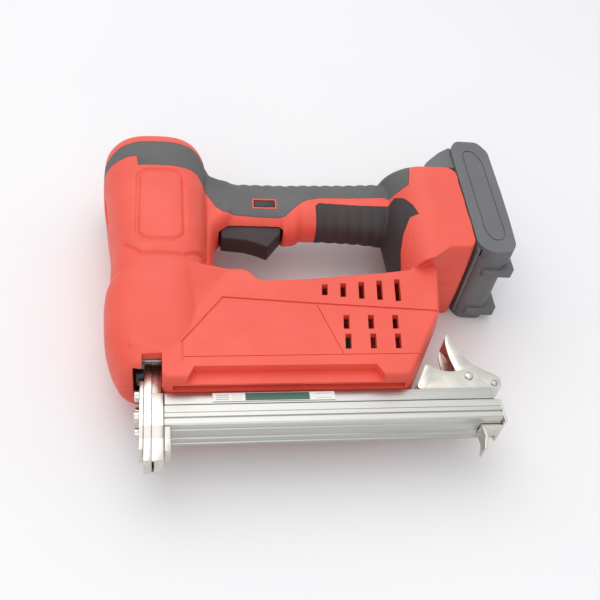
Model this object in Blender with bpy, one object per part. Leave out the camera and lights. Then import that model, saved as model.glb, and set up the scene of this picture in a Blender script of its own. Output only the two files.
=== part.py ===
"""Cordless brad and staple nailer, built as an assembly of separate solids.

The tool lies on its right side: +X runs from the nose side to the battery,
+Y runs from the nose tip to the head cap, +Z is the tool's left side.
Outlines below are in millimetres and are scaled to metres when they are used.
"""
import math

import bmesh
import bpy
from mathutils import Matrix, Vector

MM = 0.001
MID = 37.5            # height of the split plane above the surface the tool lies on
GAP = 0.3             # clearance kept between pieces that touch
SKIN = 2.0            # thickness of the moulded rubber grips
WALL = 4.6            # housing wall, measured from the outer surface
WELD = 0.000001       # merge distance, metres
SHARP_ANGLE = math.radians(35)
PROFILE_STEPS = 5     # rings from the split plane to a side face
FAR = 200.0           # beyond every piece

DRIVE_X = -111.65     # axis of the solenoid, plunger and driver blade
NOSE_TIP = -135.5
MAG_FRONT = -105.0
MAG_REAR = 107.0
MAG_HALF = 13.0       # half the width of the magazine extrusions
RAIL_BOTTOM = -101.0
SLIDE_BOTTOM = -115.5
TRIGGER_PIVOT = (-56.0, 61.0)
LEVER_PIVOT = (92.0, -83.0)
PACK_TILT = math.radians(-1.9)
PACK_ORIGIN = (117.2, 66.0)
CELL_RADIUS = 9.1
CELL_LENGTH = 65.0
SOLENOID_BOTTOM = -24.0
SOLENOID_TOP = 60.0

for item in list(bpy.data.objects):
    bpy.data.objects.remove(item, do_unlink=True)

parts = bpy.data.collections.new("brad_nailer")
cutters = bpy.data.collections.new("cutters")
bpy.context.scene.collection.children.link(parts)
bpy.context.scene.collection.children.link(cutters)


# ---------------------------------------------------------------- materials
def material(name, colour, roughness, metallic=0.0):
    finish = bpy.data.materials.new(name)
    finish.use_nodes = True
    shader = finish.node_tree.nodes["Principled BSDF"]
    shader.inputs["Base Color"].default_value = (*colour, 1.0)
    shader.inputs["Roughness"].default_value = roughness
    shader.inputs["Metallic"].default_value = metallic
    return finish


FINISH = {
    "red": ((0.86, 0.09, 0.06), 0.5, 0.0),
    "grip": ((0.13, 0.13, 0.13), 0.75, 0.0),
    "dark_grip": ((0.06, 0.05, 0.05), 0.7, 0.0),
    "black": ((0.02, 0.02, 0.022), 0.5, 0.0),
    "pack_grey": ((0.16, 0.16, 0.17), 0.55, 0.0),
    "satin_aluminium": ((0.78, 0.78, 0.76), 0.35, 1.0),
    "nickel": ((0.82, 0.8, 0.74), 0.22, 1.0),
    "steel": ((0.55, 0.55, 0.56), 0.35, 1.0),
    "spring_steel": ((0.45, 0.45, 0.47), 0.3, 1.0),
    "copper": ((0.72, 0.3, 0.14), 0.35, 1.0),
    "board_green": ((0.02, 0.22, 0.09), 0.5, 0.0),
    "cell_blue": ((0.05, 0.16, 0.42), 0.4, 0.0),
    "label": ((0.9, 0.9, 0.88), 0.4, 0.0),
    "rubber": ((0.03, 0.03, 0.03), 0.85, 0.0),
}


# ---------------------------------------------------------------- modelling helpers
def place(mesh, name, collection=parts):
    piece = bpy.data.objects.new(name, mesh)
    collection.objects.link(piece)
    if collection is cutters:
        piece.hide_render = True
        piece.display_type = "WIRE"
    return piece


def give(piece, finish):
    colour, roughness, metallic = FINISH[finish]
    piece.data.materials.clear()
    piece.data.materials.append(material(piece.name, colour, roughness, metallic))
    return piece


def mesh_from(bm, name, collection=cutters):
    bmesh.ops.recalc_face_normals(bm, faces=bm.faces)
    mesh = bpy.data.meshes.new(name)
    bm.to_mesh(mesh)
    bm.free()
    return place(mesh, name, collection)


def skin(name, loops):
    """Loft through loops of points that all have the same count, closed at both ends."""
    bm = bmesh.new()
    rings = [[bm.verts.new(Vector(p) * MM) for p in loop] for loop in loops]
    count = len(rings[0])
    for low, high in zip(rings, rings[1:]):
        for i in range(count):
            j = (i + 1) % count
            bm.faces.new((low[i], low[j], high[j], high[i]))
    bm.faces.new(rings[0])
    bm.faces.new(rings[-1])
    bmesh.ops.triangulate(bm, faces=bm.faces)
    return mesh_from(bm, name)


def prism(name, outline, low, high, axis="Z"):
    """Extrude a flat outline. The outline is XY for axis Z, YZ for axis X and XZ for axis Y."""
    bm = bmesh.new()
    turn = {"Z": lambda a, b, c: (a, b, c), "X": lambda a, b, c: (c, a, b), "Y": lambda a, b, c: (a, c, b)}
    base = bm.faces.new([bm.verts.new(Vector(turn[axis](a, b, low)) * MM) for a, b in outline])
    pushed = bmesh.ops.extrude_face_region(bm, geom=[base])
    top = [v for v in pushed["geom"] if isinstance(v, bmesh.types.BMVert)]
    shift = Vector(turn[axis](0, 0, high - low)) * MM
    bmesh.ops.translate(bm, verts=top, vec=shift)
    bmesh.ops.triangulate(bm, faces=[f for f in bm.faces if len(f.verts) > 4])
    return mesh_from(bm, name)


def box(name, x, y, z, bevel=0.0):
    bm = bmesh.new()
    bmesh.ops.create_cube(bm, size=1.0)
    size = (x[1] - x[0], y[1] - y[0], z[1] - z[0])
    bmesh.ops.scale(bm, verts=bm.verts, vec=Vector(size) * MM)
    if bevel:
        bmesh.ops.bevel(bm, geom=bm.edges, offset=bevel * MM, segments=2, affect="EDGES", profile=0.5)
    centre = Vector((sum(x) / 2, sum(y) / 2, sum(z) / 2)) * MM
    bmesh.ops.translate(bm, verts=bm.verts, vec=centre)
    return mesh_from(bm, name)


def rod(name, start, axis, radius, length, sides=20):
    """A cylinder from start along +X, +Y or +Z."""
    bm = bmesh.new()
    bmesh.ops.create_cone(bm, cap_ends=True, segments=sides, radius1=radius * MM, radius2=radius * MM,
                          depth=length * MM)
    turn = {"X": Matrix.Rotation(math.pi / 2, 3, "Y"), "Y": Matrix.Rotation(-math.pi / 2, 3, "X"),
            "Z": Matrix.Identity(3)}[axis]
    bmesh.ops.rotate(bm, verts=bm.verts, cent=(0, 0, 0), matrix=turn)
    push = {"X": (length / 2, 0, 0), "Y": (0, length / 2, 0), "Z": (0, 0, length / 2)}[axis]
    bmesh.ops.translate(bm, verts=bm.verts, vec=(Vector(start) + Vector(push)) * MM)
    bmesh.ops.triangulate(bm, faces=[f for f in bm.faces if len(f.verts) > 4])
    return mesh_from(bm, name)


def evaluated(piece):
    """Apply a piece's modifiers and leave one plain mesh."""
    graph = bpy.context.evaluated_depsgraph_get()
    mesh = bpy.data.meshes.new_from_object(piece.evaluated_get(graph))
    piece.modifiers.clear()
    piece.data = mesh
    return piece


def combine(target, tools, operation):
    """Boolean with closed meshes. The lofted bodies need the MANIFOLD solver, EXACT drops them."""
    for tool in tools:
        step = target.modifiers.new(operation.lower(), "BOOLEAN")
        step.operation = operation
        step.solver = "MANIFOLD"
        step.object = tool
        evaluated(target)
    return target


def join(target, *tools):
    return combine(target, tools, "UNION")


def cut(target, *tools):
    return combine(target, tools, "DIFFERENCE")


def overlap(target, *tools):
    return combine(target, tools, "INTERSECT")


def copy_of(piece, name):
    return place(piece.data.copy(), name, cutters)


def welded(piece):
    """Merge points that a Boolean left in the same place."""
    bm = bmesh.new()
    bm.from_mesh(piece.data)
    bmesh.ops.remove_doubles(bm, verts=bm.verts, dist=WELD)
    bmesh.ops.dissolve_degenerate(bm, edges=bm.edges, dist=WELD)
    bm.to_mesh(piece.data)
    bm.free()


def finish_piece(piece, name, look, origin=None):
    """Turn a solid into a named part: origin on its joint axis, own material, tidy shading."""
    welded(piece)
    piece.name = name
    piece.data.name = name
    cutters.objects.unlink(piece)
    parts.objects.link(piece)
    piece.hide_render = False
    piece.display_type = "TEXTURED"
    if origin:
        shift = Vector(origin) * MM
        piece.data.transform(Matrix.Translation(-shift))
        piece.location = shift
    piece.data.shade_smooth()
    piece.data.set_sharp_from_angle(angle=SHARP_ANGLE)
    give(piece, look)
    return piece


def ring_body(name, start, axis, outer, inner, length, sides=28):
    """A plain ring: four loops of points joined round its section."""
    bm = bmesh.new()
    loops = []
    for radius, along in ((outer, 0.0), (outer, length), (inner, length), (inner, 0.0)):
        loop = []
        for i in range(sides):
            a = radius * math.cos(2 * math.pi * i / sides)
            b = radius * math.sin(2 * math.pi * i / sides)
            offset = {"X": (along, a, b), "Y": (b, along, a), "Z": (a, b, along)}[axis]
            loop.append(bm.verts.new((Vector(start) + Vector(offset)) * MM))
        loops.append(loop)
    for here, after in zip(loops, loops[1:] + loops[:1]):
        for i in range(sides):
            j = (i + 1) % sides
            bm.faces.new((here[i], here[j], after[j], after[i]))
    return mesh_from(bm, name)


def coil_spring(name, start, axis, radius, wire, length, turns, per_turn=8):
    """A helical spring as a poly curve with a round bevel, made into a mesh."""
    curve = bpy.data.curves.new(name, "CURVE")
    curve.dimensions = "3D"
    curve.bevel_depth = wire * MM
    curve.bevel_resolution = 1
    curve.use_fill_caps = True
    count = turns * per_turn + 1
    spline = curve.splines.new("POLY")
    spline.points.add(count - 1)
    for i in range(count):
        angle = 2 * math.pi * i / per_turn
        along = length * i / (count - 1)
        a = radius * math.cos(angle)
        b = radius * math.sin(angle)
        offset = {"X": (along, a, b), "Y": (b, along, a), "Z": (a, b, along)}[axis]
        spline.points[i].co = (*((Vector(start) + Vector(offset)) * MM), 1.0)
    wire_object = bpy.data.objects.new(name + "_curve", curve)
    cutters.objects.link(wire_object)
    graph = bpy.context.evaluated_depsgraph_get()
    mesh = bpy.data.meshes.new_from_object(wire_object.evaluated_get(graph))
    bpy.data.objects.remove(wire_object, do_unlink=True)
    bm = bmesh.new()
    bm.from_mesh(mesh)
    bmesh.ops.remove_doubles(bm, verts=bm.verts, dist=0.00001)
    return mesh_from(bm, name)


# ---------------------------------------------------------------- housing surfaces
def inset_outline(outline, distance):
    """Move every side of a counter-clockwise outline inwards by the same distance."""
    moved = []
    count = len(outline)
    for i in range(count):
        before = Vector(outline[i - 1])
        here = Vector(outline[i])
        after = Vector(outline[(i + 1) % count])
        first = (here - before).normalized()
        second = (after - here).normalized()
        normal = Vector((-first.y, first.x)) + Vector((-second.y, second.x))
        normal.normalize()
        lean = max(0.35, normal.dot(Vector((-first.y, first.x))))
        moved.append(here + normal * (distance / lean))
    return moved


def pillow(name, middle, side, half, inset):
    """A body whose outline runs from the middle outline to the side outline in a quarter ellipse."""
    middle = inset_outline(middle, inset)
    side = inset_outline(side, inset)
    loops = []
    for i in range(-PROFILE_STEPS, PROFILE_STEPS + 1):
        angle = math.pi / 2 * i / PROFILE_STEPS
        height = MID + (half - inset) * math.sin(angle)
        blend = math.cos(angle)
        loops.append([(*(s + (m - s) * blend), height) for m, s in zip(middle, side)])
    return skin(name, loops)


def rounded_section(low, high, half, power, sides, inset):
    """A superellipse between low and high on one axis and half either side of the split plane."""
    centre = (low + high) / 2
    reach = (high - low) / 2 - inset
    points = []
    for i in range(sides):
        angle = 2 * math.pi * (i + 0.5) / sides
        c = math.cos(angle)
        s = math.sin(angle)
        a = math.copysign(abs(c) ** (2 / power), c) * reach
        b = math.copysign(abs(s) ** (2 / power), s) * (half - inset)
        points.append((centre + a, MID + b))
    return points


# y, front x, rear x, half width of the barrel-shaped head, from the cap to the nose end
HEAD_RINGS = [
    (135.5, -120.0, -97.0, 13.0), (134.2, -131.0, -88.0, 22.5), (130.0, -140.0, -81.0, 29.5),
    (123.0, -146.0, -76.0, 34.0), (114.0, -149.0, -73.5, 36.7), (102.0, -149.5, -72.5, 37.5),
    (89.0, -149.0, -72.5, 37.5), (56.0, -145.5, -73.0, 37.5), (11.0, -141.0, -75.0, 37.5),
    (-7.0, -141.0, -75.5, 36.3), (-15.0, -143.3, -76.5, 35.4), (-25.0, -144.0, -77.0, 34.0),
    (-46.0, -143.0, -77.0, 31.0),
    (-66.0, -138.5, -79.0, 27.0), (-74.0, -135.0, -82.0, 25.2), (-77.5, -133.0, -84.0, 24.2),
    (-79.0, -130.0, -87.0, 22.0),
]
HEAD_MIDDLE = 30.0
HEAD_POWER = 2.9
# x, lower y, upper y, half width of the hand grip
HANDLE_RINGS = [
    (-96.0, 52.0, 101.0, 22.0), (-72.0, 51.0, 103.0, 19.0), (-60.0, 54.0, 102.8, 17.5),
    (-21.0, 53.5, 103.0, 17.0), (-16.0, 49.0, 103.2, 17.0), (-9.0, 50.0, 103.4, 17.0),
    (-2.0, 54.5, 103.6, 17.0), (30.0, 53.0, 105.0, 17.0), (58.0, 50.0, 106.5, 18.0),
    (78.0, 46.0, 107.0, 20.0),
]
HANDLE_POWER = 2.3
NECK = {
    "middle": [(-90, 122), (-90, -4), (-71, 0), (-69.5, 30), (-67, 46), (-61, 53), (-50, 60), (-48, 96),
               (-55, 102.5), (-63, 105), (-69, 111), (-72, 121)],
    "side": [(-90, 112), (-90, 4), (-77, 6), (-76, 32), (-74, 50), (-68, 58), (-58, 66), (-56, 90),
             (-61, 93), (-67, 94), (-79, 97.5), (-83, 112)],
    "half": 17.0,
}
FOOT = {
    "middle": [(61, -4), (70, 2), (88, 7), (111, 8), (115.1, 14), (118, 102), (113, 107.5), (68, 107),
               (61, 104), (60, 56)],
    "side": [(80, -2), (86, 2), (96, 11), (111, 10.5), (115.2, 17), (117.5, 88), (113, 92.5), (98, 93),
             (94, 88), (93.5, 50)],
    "half": 37.5,
}
LOWER = {
    "middle": [(-122, 2), (-122, -72), (-106.5, -72.2), (-106.5, -92.5), (48, -92.5), (52, -90), (81, -38),
               (90, 8), (66, 2), (46, -1), (-7, -7), (-40, -9), (-49, 2)],
    "side": [(-118, -4), (-118, -70), (-106.5, -70.5), (-106.5, -89.5), (45, -89.5), (48, -87), (76, -40),
             (85, 3), (66, -3), (46, -6), (-7, -12), (-43, -14), (-50, -4)],
    "half": 26.5,
}


# the ramp from the head's barrel down to the lower body, at its foot and at its crest
SHOULDER_LOW = [(-132, -66), (-112, -70), (-104, -66), (-66, -10), (-62, -3), (-74, 4), (-138, 4)]
SHOULDER_TOP = [(-124, -44), (-114, -46), (-110, -44), (-96, -12), (-94, -4), (-96, 2), (-128, 2)]
SHOULDER_HEIGHT = 36.0
SHOULDER_FALL = 0.11


def shoulder_body(inset):
    low = [(x, y, LOWER["half"] - 0.1 - inset) for x, y in inset_outline(SHOULDER_LOW, inset)]
    top = [(x, y, SHOULDER_HEIGHT + SHOULDER_FALL * (y - 2) - inset)
           for x, y in inset_outline(SHOULDER_TOP, inset)]
    order = ((-1, top), (-1, low), (1, low), (1, top))
    loops = [[(x, y, MID + side * z) for x, y, z in loop] for side, loop in order]
    return skin("shoulder", loops)


def head_body(inset):
    length = HEAD_RINGS[0][0] - HEAD_MIDDLE
    loops = []
    for y, front, rear, half in HEAD_RINGS:
        height = HEAD_MIDDLE + (y - HEAD_MIDDLE) * (length - inset) / length
        section = rounded_section(front, rear, half, HEAD_POWER, 32, inset)
        loops.append([(x, height, z) for x, z in section])
    return skin("head", loops)


def handle_body(inset):
    loops = []
    for x, low, high, half in HANDLE_RINGS:
        section = rounded_section(low, high, half, HANDLE_POWER, 24, inset)
        loops.append([(x, y, z) for y, z in section])
    return skin("handle", loops)


def housing_solid(name, inset):
    body = pillow(name, LOWER["middle"], LOWER["side"], LOWER["half"], inset)
    others = [pillow("foot", FOOT["middle"], FOOT["side"], FOOT["half"], inset), head_body(inset),
              pillow("neck", NECK["middle"], NECK["side"], NECK["half"], inset), handle_body(inset),
              shoulder_body(inset)]
    return join(body, *others)


UPPER_GRIP = [
    (-160, 95), (-149, 95), (-140, 96), (-131, 98), (-124, 98), (-123, 88), (-86, 88), (-81, 87),
    (-78.5, 84), (-73, 76), (-68, 68), (-62.6, 62.6), (-35, 61), (-16.5, 60.5), (-10, 67), (-3, 74),
    (3, 77), (11, 79), (62, 80), (66, 76), (73, 77), (78, 79), (82, 98), (82, 130), (-62, 130),
    (-72, 115.5), (-77, 111), (-85, 114), (-96, 115.3), (-124, 114.5), (-136, 111.5), (-145, 106.5),
    (-160, 103.5),
]
LOWER_GRIP = [
    (8, 40), (50, 40), (46, 8), (62.5, 8), (64, 22), (67, 34), (73, 46), (79, 46), (77, 57), (73, 67),
    (68, 73), (64, 70), (11, 73.5), (8, 71),
]

outer = housing_solid("outer", 0.0)
core = housing_solid("grip_bed", SKIN)
bed = housing_solid("grip_bed_cut", SKIN + GAP)
hollow = housing_solid("hollow", WALL)

# the window for the trigger lock and the slots for air
WINDOW = {"x": (-39.0, -23.0), "y": (68.5, 75.5)}
window_cut = box("window_cut", WINDOW["x"], WINDOW["y"], (-5, 80))
# x at the top of each slot, its upper y and lower y
UPPER_VENTS = [(0.0, -16.5, -26.0), (12.8, -15.3, -27.5), (25.6, -14.0, -29.0), (38.4, -12.7, -30.0),
               (51.2, -11.4, -31.0)]
LOWER_VENTS = [(11.0, -43.0, -54.5), (27.5, -43.0, -54.5), (44.0, -43.0, -54.5),
               (10.0, -58.5, -70.5), (26.5, -58.5, -70.5), (43.0, -58.5, -70.5)]
VENT_WIDTH = 4.0
VENT_LEAN = 0.12


def vent_cutters():
    made = []
    for x, top, low in UPPER_VENTS + LOWER_VENTS:
        lean = (top - low) * VENT_LEAN
        outline = [(x - lean, low), (x - lean + VENT_WIDTH, low), (x + VENT_WIDTH, top), (x, top)]
        made.append(prism("vent", outline, -5, 80))
    return made


# ---------------------------------------------------------------- battery frame
def tilted(piece):
    """Turn a solid that was drawn square onto the battery's leaning axis."""
    pivot = Vector((*PACK_ORIGIN, 0)) * MM
    turn = Matrix.Translation(pivot) @ Matrix.Rotation(PACK_TILT, 4, "Z") @ Matrix.Translation(-pivot)
    piece.data.transform(turn)
    return piece


def pack_box(name, across, along, height, bevel=0.0):
    x = [PACK_ORIGIN[0] + u for u in across]
    y = [PACK_ORIGIN[1] + v for v in along]
    return tilted(box(name, x, y, height, bevel))


def pack_prism(name, outline, low, high):
    return tilted(prism(name, [(PACK_ORIGIN[0] + u, PACK_ORIGIN[1] + v) for u, v in outline], low, high))


TONGUE_FRONT = -20.0
TONGUE_LIP = -8.7
TONGUE_LOW = -41.5
TONGUE_NECK = 21.0
TONGUE_HEAD = 25.5
WEDGE_LOW = 30.8

# ---------------------------------------------------------------- housing halves and grips
SCREW_SPOTS = [(-133, 108), (-84, 112), (-84, -62), (-26, -81), (54, -62), (76, 30), (-4, 63)]
BOSS_RADIUS = 4.2
BOSS_INSET = 3.2
SEAT = MID - 10.0
SHANK_TOP = MID + 9.5

nose_clear = [box("nose_clear", (-124.0, -106.3), (-160, -72), (MID - 19.5, MID + 19.5)),
              box("nose_notch", (-118.6, -106.3), (-160, -72), (-10, 85))]
bulkhead = box("bulkhead", (88.0, 130.0), (-20, 140), (-10, 85))
wall_outline = [(-99.5, -100), (-91, -74.4), (31.5, -74.4), (40, -100)]
wall_keep = [prism("wall_left", wall_outline, MID + 15.4, 90),
             prism("wall_right", wall_outline, -15, MID - 15.4)]
hollow = cut(hollow, bulkhead, *wall_keep)
trigger_slot = box("trigger_slot", (-65.5, -17.5), (30, 63), (29.2, 45.8))
trigger_bore = rod("trigger_bore", (*TRIGGER_PIVOT, MID - 10.0), "Z", 1.8, 20.0)
side_outline = [(-96, -100), (-87, -82.5), (27, -82.5), (36, -100)]
belly_slots = [box("belly_left", (-100, 46), (-100, -87), (MID + 13.6, MID + 18.6)),
               box("belly_right", (-100, 46), (-100, -87), (MID - 18.6, MID - 13.6))]
side_steps = [prism("step_left", side_outline, MID + 20.0, 90),
              prism("step_right", side_outline, -15, MID - 20.0)]
tongue_room = [
    pack_box("tongue_head_room", (TONGUE_FRONT - GAP, TONGUE_LIP + GAP), (TONGUE_LOW - GAP, 90),
             (MID - TONGUE_HEAD - GAP, MID + TONGUE_HEAD + GAP)),
    pack_box("tongue_neck_room", (TONGUE_LIP - 2, 8), (TONGUE_LOW - GAP, 90),
             (MID - TONGUE_NECK - GAP, MID + TONGUE_NECK + GAP)),
    pack_box("wedge_room", (-25.0, 12), (WEDGE_LOW - GAP, 90), (-10, 85)),
]
terminal_room = box("terminal_room", (86.0, 98.0), (45.0, 75.0), (MID - 14, MID + 14))

upper_zone = prism("upper_grip_zone", UPPER_GRIP, -15, 90)
lower_zone = prism("lower_grip_zone", LOWER_GRIP, -15, 90)

shell = copy_of(outer, "shell")
for outline in (UPPER_GRIP, LOWER_GRIP):
    pocket = prism("grip_pocket", inset_outline(outline, -GAP), -15, 90)
    shell = cut(shell, cut(pocket, bed))
boss_limit = housing_solid("boss_limit", BOSS_INSET)
shell = cut(shell, hollow)
for x, y in SCREW_SPOTS:
    boss = overlap(rod("boss", (x, y, -10), "Z", BOSS_RADIUS, 95, 12), boss_limit)
    shell = join(shell, boss)
shell = cut(shell, *nose_clear, *belly_slots, trigger_slot, trigger_bore, window_cut, terminal_room)
shell = cut(shell, *tongue_room, *side_steps, *vent_cutters())
for x, y in SCREW_SPOTS:
    shell = cut(shell, rod("head_bore", (x, y, -20), "Z", 3.5, SEAT + 20, 12),
                rod("shank_bore", (x, y, SEAT - 1), "Z", 1.9, SHANK_TOP + GAP - SEAT + 1, 8))


def screw(name, x, y):
    head = rod(name, (x, y, SEAT - 2.3), "Z", 3.1, 2.0, 16)
    shank = rod("shank", (x, y, SEAT - 0.6), "Z", 1.6, SHANK_TOP - SEAT + 0.6, 12)
    slot = box("slot", (x - 2.2, x + 2.2), (y - 0.5, y + 0.5), (SEAT - 3, SEAT - 1.4))
    return finish_piece(cut(join(head, shank), slot), name, "steel")


def half_of(source, name, is_left):
    limits = (MID + GAP / 2, FAR) if is_left else (-FAR, MID - GAP / 2)
    slab = box("half_space", (-FAR, FAR), (-FAR, FAR), limits)
    return overlap(copy_of(source, name), slab)


upper_grip = cut(overlap(copy_of(outer, "upper_grip"), upper_zone), core, window_cut, trigger_slot)
lower_grip = cut(overlap(copy_of(outer, "lower_grip"), lower_zone), core)
for is_left, side_name in ((True, "left"), (False, "right")):
    finish_piece(half_of(shell, "housing", is_left), side_name + "_housing", "red")
    finish_piece(half_of(upper_grip, "upper", is_left), side_name + "_upper_grip", "grip")
    finish_piece(half_of(lower_grip, "lower", is_left), side_name + "_lower_grip", "dark_grip")
for number, (x, y) in enumerate(SCREW_SPOTS, 1):
    screw("housing_screw_" + str(number), x, y)


# ---------------------------------------------------------------- trigger and lock
def trigger_group():
    x, y = TRIGGER_PIVOT
    outline = [(-64, 58), (-63.5, 45), (-47, 43), (-38, 39.8), (-30.5, 35.8), (-19.5, 51), (-19, 60),
               (-44, 60), (-50, 66), (-60, 66)]
    body = prism("trigger", outline, MID - 7.5, MID + 7.5)
    body = cut(body, rod("pin_bore", (x, y, 0), "Z", 1.8, 80),
               rod("spring_room", (x, y, MID + 3.6), "Z", 3.5, 10))
    finish_piece(body, "trigger", "dark_grip", origin=(x, y, MID))
    finish_piece(rod("pin", (x, y, MID - 9.7), "Z", 1.5, 19.4, 16), "trigger_pin", "steel")
    spring = coil_spring("trigger_spring", (x, y, MID + 4.4), "Z", 2.5, 0.35, 2.8, 3)
    finish_piece(spring, "trigger_spring", "spring_steel")
    switch = join(box("switch", (-21, 2), (68.5, 86), (MID - 8, MID + 8)),
                  box("nub", (-20.5, -17), (64.6, 69), (MID - 2, MID + 2)))
    finish_piece(switch, "trigger_switch", "black")
    slider = box("lock", (-38.6, -23.4), (70.2, 75.1), (MID - 14.0, MID + 14.0), 0.6)
    finish_piece(slider, "lock_slider", "black", origin=(-31, 72.6, MID))


# ---------------------------------------------------------------- solenoid drive
YOKE_RADIUS = 24.3


def drive_group():
    x = DRIVE_X
    yoke = rod("yoke", (x, SOLENOID_BOTTOM, MID), "Y", YOKE_RADIUS, SOLENOID_TOP - SOLENOID_BOTTOM, 32)
    yoke = cut(yoke, rod("inside", (x, SOLENOID_BOTTOM + 4, MID), "Y", YOKE_RADIUS - 2.0, 120, 32),
               rod("passage", (x, SOLENOID_BOTTOM - 2, MID), "Y", 10.8, 20, 24))
    finish_piece(yoke, "solenoid_yoke", "steel")
    low = SOLENOID_BOTTOM + 4 + GAP
    high = SOLENOID_TOP - GAP
    bobbin = rod("bobbin", (x, low, MID), "Y", YOKE_RADIUS - 2.3, high - low, 32)
    bobbin = cut(bobbin, ring_body("winding_room", (x, low + 2.2, MID), "Y", 30.0, 12.2, high - low - 4.4),
                 rod("bobbin_bore", (x, low - 1, MID), "Y", 10.7, 120, 24))
    finish_piece(bobbin, "coil_bobbin", "black")
    winding = ring_body("coil", (x, low + 2.5, MID), "Y", YOKE_RADIUS - 2.8, 12.5, high - low - 5.0, 32)
    finish_piece(winding, "solenoid_coil", "copper")
    plate = ring_body("plate", (x, SOLENOID_TOP + GAP, MID), "Y", YOKE_RADIUS, 10.8, 3.7, 32)
    finish_piece(plate, "yoke_plate", "steel")
    plunger = join(rod("plunger", (x, 10, MID), "Y", 10.2, 103, 24),
                   rod("seat", (x, 112, MID), "Y", 14.0, 4.0, 24))
    finish_piece(plunger, "plunger", "steel", origin=(x, 60, MID))
    spring = coil_spring("return_spring", (x, 65.0, MID), "Y", 12.2, 0.65, 46.2, 5, 14)
    finish_piece(spring, "return_spring", "spring_steel")
    blade = box("blade", (x - 0.65, x + 0.65), (-95.3, 9.7), (MID - 5.5, MID + 5.5))
    finish_piece(blade, "driver_blade", "steel")
    finish_piece(ring_body("bumper", (x, -38.0, MID), "Y", 16.0, 7.0, 7.0, 24), "bumper", "rubber")
    mount = box("mount", (-123.0, -100.0), (-69.8, -38.3), (MID - 15, MID + 15), 1.5)
    mount = cut(mount, box("blade_slot", (x - 1.0, x + 1.0), (-90, -20), (MID - 6.2, MID + 6.2)))
    finish_piece(mount, "nose_mount", "satin_aluminium")


def electronics():
    finish_piece(box("board", (-58, 36), (-62, -28), (22.0, 23.6)), "control_board", "board_green")
    finish_piece(rod("can", (-50, -45, 34.4), "X", 10.0, 38, 24), "capacitor", "black")
    block = box("terminals", (86.3, 95.2), (45.4, 74.6), (MID - 13.6, MID + 13.6))
    for step in (-9, 0, 9):
        block = cut(block, box("blade_gap", (92, 99), (40, 80), (MID + step - 1, MID + step + 1)))
    finish_piece(block, "terminal_block", "black")


# ---------------------------------------------------------------- nose
NOSE_FRONT = -119.6
PLATE_FRONT = -117.0
CHANNEL_FRONT = -112.5
CHANNEL_REAR = -110.8
NOSE_HALF = 13.3
TIP_HALF = 7.75


def nose_outline(top, tip, half=NOSE_HALF):
    return [(top, MID - half), (-115.5, MID - half), (-121, MID - 8), (tip, MID - TIP_HALF),
            (tip, MID + TIP_HALF), (-121, MID + 8), (-115.5, MID + half), (top, MID + half)]


NOSE_SCREWS = [(-92.5, 9.4), (-92.5, -9.4), (-107.0, 9.4), (-107.0, -9.4)]
NOSE_BOLTS = [(-77.0, 9.0), (-77.0, -9.0)]


def nose_group():
    front = prism("front", nose_outline(-84.0, -128.0), NOSE_FRONT, PLATE_FRONT - GAP, "X")
    guide = prism("guide", nose_outline(-70.1, NOSE_TIP), PLATE_FRONT, CHANNEL_FRONT - 0.1, "X")
    rear = prism("rear", nose_outline(-93.0, NOSE_TIP), CHANNEL_FRONT + 0.2, -105.5, "X")
    top = box("rear_top", (CHANNEL_FRONT + 0.2, -106.7), (-95, -70.1), (MID - 13.1, MID + 13.1))
    rear = join(rear, top)
    rear = cut(rear, box("channel", (-116, CHANNEL_REAR), (-150, -60), (MID - 6.1, MID + 6.1)),
               box("staple_way", (-116, -100), (-112.9, -101.2), (MID - 6.3, MID + 6.3)))
    bores = [rod("bore", (-125, y, MID + z), "X", 1.7, 30, 12) for y, z in NOSE_SCREWS + NOSE_BOLTS]
    finish_piece(cut(front, *bores), "nose_front_plate", "nickel")
    finish_piece(cut(guide, *bores), "nose_guide_plate", "nickel")
    finish_piece(cut(rear, *bores), "nose_rear_block", "nickel")
    for number, (y, z) in enumerate(NOSE_SCREWS, 1):
        head = rod("head", (NOSE_FRONT - GAP - 3.0, y, MID + z), "X", 3.6, 3.0, 18)
        shank = rod("shank", (NOSE_FRONT - 1.5, y, MID + z), "X", 1.35, 12.5, 12)
        socket = rod("socket", (NOSE_FRONT - 4.5, y, MID + z), "X", 1.9, 2.6, 6)
        finish_piece(cut(join(head, shank), socket), "nose_screw_" + str(number), "nickel")
    for number, (y, z) in enumerate(NOSE_BOLTS, 1):
        head = rod("head", (PLATE_FRONT - GAP - 4.8, y, MID + z), "X", 4.1, 4.8, 18)
        shank = rod("shank", (PLATE_FRONT - 1.5, y, MID + z), "X", 1.35, 11.4, 12)
        socket = rod("socket", (PLATE_FRONT - 6.0, y, MID + z), "X", 2.2, 3.4, 6)
        finish_piece(cut(join(head, shank), socket), "nose_bolt_" + str(number), "black")


# ---------------------------------------------------------------- magazine
def mirrored(half_points):
    """Complete a YZ outline that is given for the left side of the split plane."""
    return half_points + [(y, 2 * MID - z) for y, z in reversed(half_points)]


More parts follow.
